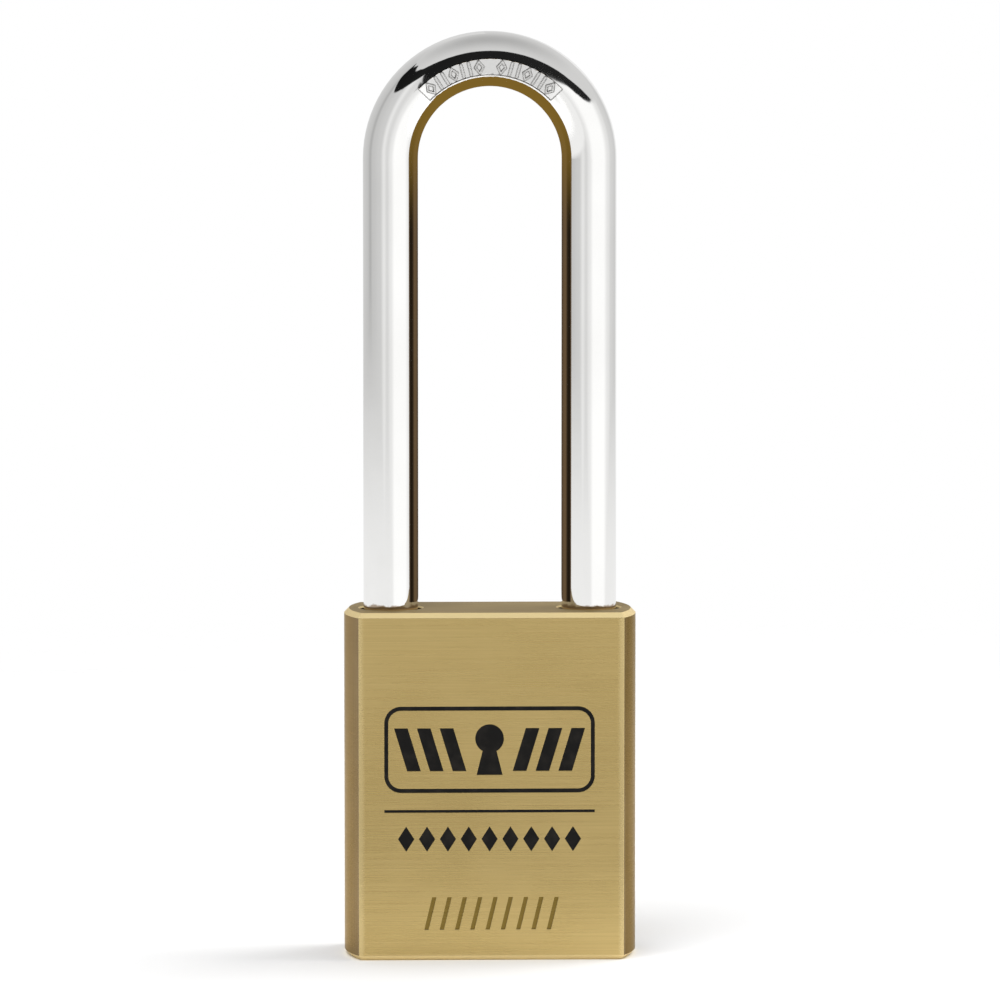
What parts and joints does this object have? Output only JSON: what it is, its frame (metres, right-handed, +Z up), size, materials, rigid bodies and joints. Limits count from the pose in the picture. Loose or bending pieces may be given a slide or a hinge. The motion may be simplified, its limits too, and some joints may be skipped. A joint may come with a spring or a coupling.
{
  "type": "padlock",
  "caption": "Keyed padlock with a brass block body, a long round steel shackle and a pin cylinder opened from below.",
  "frame": {"origin": "middle of the body's underside, on which the padlock stands", "axes": "+Z up through the shackle, -Y out of the front face, +X towards the toe side, where the short leg goes in"},
  "size_m": [0.045, 0.019, 0.1424],
  "materials": {
    "brass_block": "satin, brushed across the front",
    "brass_cylinder": "turned",
    "black_enamel": "baked enamel",
    "chromed_steel": "polished chrome plate",
    "bearing_steel": "ground",
    "plain_steel": "machined",
    "black_steel": "black oxide",
    "spring_steel": "drawn wire"
  },
  "bodies": {
    "lock_body": {"body": "brass_block", "front_mark_enamel": "black_enamel", "cross_bore_plug": "brass_block", "cylinder_housing": "brass_cylinder", "cylinder_retaining_screw": "black_steel", "pin_chamber_plugs": "brass_cylinder", "heel_spring": "spring_steel", "cam_return_spring": "spring_steel", "pin_spring_1": "spring_steel", "pin_spring_2": "spring_steel", "pin_spring_3": "spring_steel", "pin_spring_4": "spring_steel", "pin_spring_5": "spring_steel", "pin_spring_6": "spring_steel"},
    "shackle": {"shackle": "chromed_steel"},
    "toe_ball": {"toe_ball": "bearing_steel"},
    "heel_ball": {"heel_ball": "bearing_steel"},
    "cam": {"locking_cam": "plain_steel"},
    "plug": {"cylinder_plug": "brass_cylinder", "plug_retaining_clip": "spring_steel", "anti_drill_pins": "bearing_steel"},
    "key_pin_1": {"key_pin_1": "brass_cylinder"},
    "driver_pin_1": {"driver_pin_1": "brass_cylinder"},
    "key_pin_2": {"key_pin_2": "brass_cylinder"},
    "driver_pin_2": {"driver_pin_2": "brass_cylinder"},
    "key_pin_3": {"key_pin_3": "brass_cylinder"},
    "driver_pin_3": {"driver_pin_3": "brass_cylinder"},
    "key_pin_4": {"key_pin_4": "brass_cylinder"},
    "driver_pin_4": {"driver_pin_4": "brass_cylinder"},
    "key_pin_5": {"key_pin_5": "brass_cylinder"},
    "driver_pin_5": {"driver_pin_5": "brass_cylinder"},
    "key_pin_6": {"key_pin_6": "brass_cylinder"},
    "driver_pin_6": {"driver_pin_6": "brass_cylinder"}
  },
  "joints": [
    {"name": "shackle_lift", "type": "slide", "parent": "lock_body", "child": "shackle", "axis": [0, 0, 1], "range_m": [0, 0.015], "deforming": ["heel_spring"]},
    {"name": "plug_turn", "type": "hinge", "parent": "lock_body", "child": "plug", "pos_m": [0, 0, 0.0003], "axis": [0, 0, 1], "range_deg": [0, 90]},
    {"name": "cam_turn", "type": "hinge", "parent": "lock_body", "child": "cam", "pos_m": [0, 0, 0.046], "axis": [0, 0, 1], "range_deg": [-90, 0], "deforming": ["cam_return_spring"]},
    {"name": "toe_ball_slide", "type": "slide", "parent": "lock_body", "child": "toe_ball", "axis": [1, 0, 0], "range_m": [0, 0.00225]},
    {"name": "heel_ball_slide", "type": "slide", "parent": "lock_body", "child": "heel_ball", "axis": [-1, 0, 0], "range_m": [0, 0.0012]},
    {"name": "key_pin_1_drop", "type": "slide", "parent": "plug", "child": "key_pin_1", "axis": [1, 0, 0], "range_m": [-0.00245, 0]},
    {"name": "driver_pin_1_drop", "type": "slide", "parent": "lock_body", "child": "driver_pin_1", "axis": [1, 0, 0], "range_m": [-0.00245, 0], "deforming": ["pin_spring_1"]},
    {"name": "key_pin_2_drop", "type": "slide", "parent": "plug", "child": "key_pin_2", "axis": [1, 0, 0], "range_m": [-0.00095, 0]},
    {"name": "driver_pin_2_drop", "type": "slide", "parent": "lock_body", "child": "driver_pin_2", "axis": [1, 0, 0], "range_m": [-0.00095, 0], "deforming": ["pin_spring_2"]},
    {"name": "key_pin_3_drop", "type": "slide", "parent": "plug", "child": "key_pin_3", "axis": [1, 0, 0], "range_m": [-0.00345, 0]},
    {"name": "driver_pin_3_drop", "type": "slide", "parent": "lock_body", "child": "driver_pin_3", "axis": [1, 0, 0], "range_m": [-0.00345, 0], "deforming": ["pin_spring_3"]},
    {"name": "key_pin_4_drop", "type": "slide", "parent": "plug", "child": "key_pin_4", "axis": [1, 0, 0], "range_m": [-0.00145, 0]},
    {"name": "driver_pin_4_drop", "type": "slide", "parent": "lock_body", "child": "driver_pin_4", "axis": [1, 0, 0], "range_m": [-0.00145, 0], "deforming": ["pin_spring_4"]},
    {"name": "key_pin_5_drop", "type": "slide", "parent": "plug", "child": "key_pin_5", "axis": [1, 0, 0], "range_m": [-0.00295, 0]},
    {"name": "driver_pin_5_drop", "type": "slide", "parent": "lock_body", "child": "driver_pin_5", "axis": [1, 0, 0], "range_m": [-0.00295, 0], "deforming": ["pin_spring_5"]},
    {"name": "key_pin_6_drop", "type": "slide", "parent": "plug", "child": "key_pin_6", "axis": [1, 0, 0], "range_m": [-0.00195, 0]},
    {"name": "driver_pin_6_drop", "type": "slide", "parent": "lock_body", "child": "driver_pin_6", "axis": [1, 0, 0], "range_m": [-0.00195, 0], "deforming": ["pin_spring_6"]}
  ],
  "couplings": [
    {"joint": "toe_ball_slide", "follows": "cam_turn", "m_per_rad": -0.001432},
    {"joint": "heel_ball_slide", "follows": "cam_turn", "m_per_rad": -0.0007636},
    {"joint": "driver_pin_1_drop", "follows": "key_pin_1_drop", "ratio": 1},
    {"joint": "driver_pin_2_drop", "follows": "key_pin_2_drop", "ratio": 1},
    {"joint": "driver_pin_3_drop", "follows": "key_pin_3_drop", "ratio": 1},
    {"joint": "driver_pin_4_drop", "follows": "key_pin_4_drop", "ratio": 1},
    {"joint": "driver_pin_5_drop", "follows": "key_pin_5_drop", "ratio": 1},
    {"joint": "driver_pin_6_drop", "follows": "key_pin_6_drop", "ratio": 1}
  ]
}
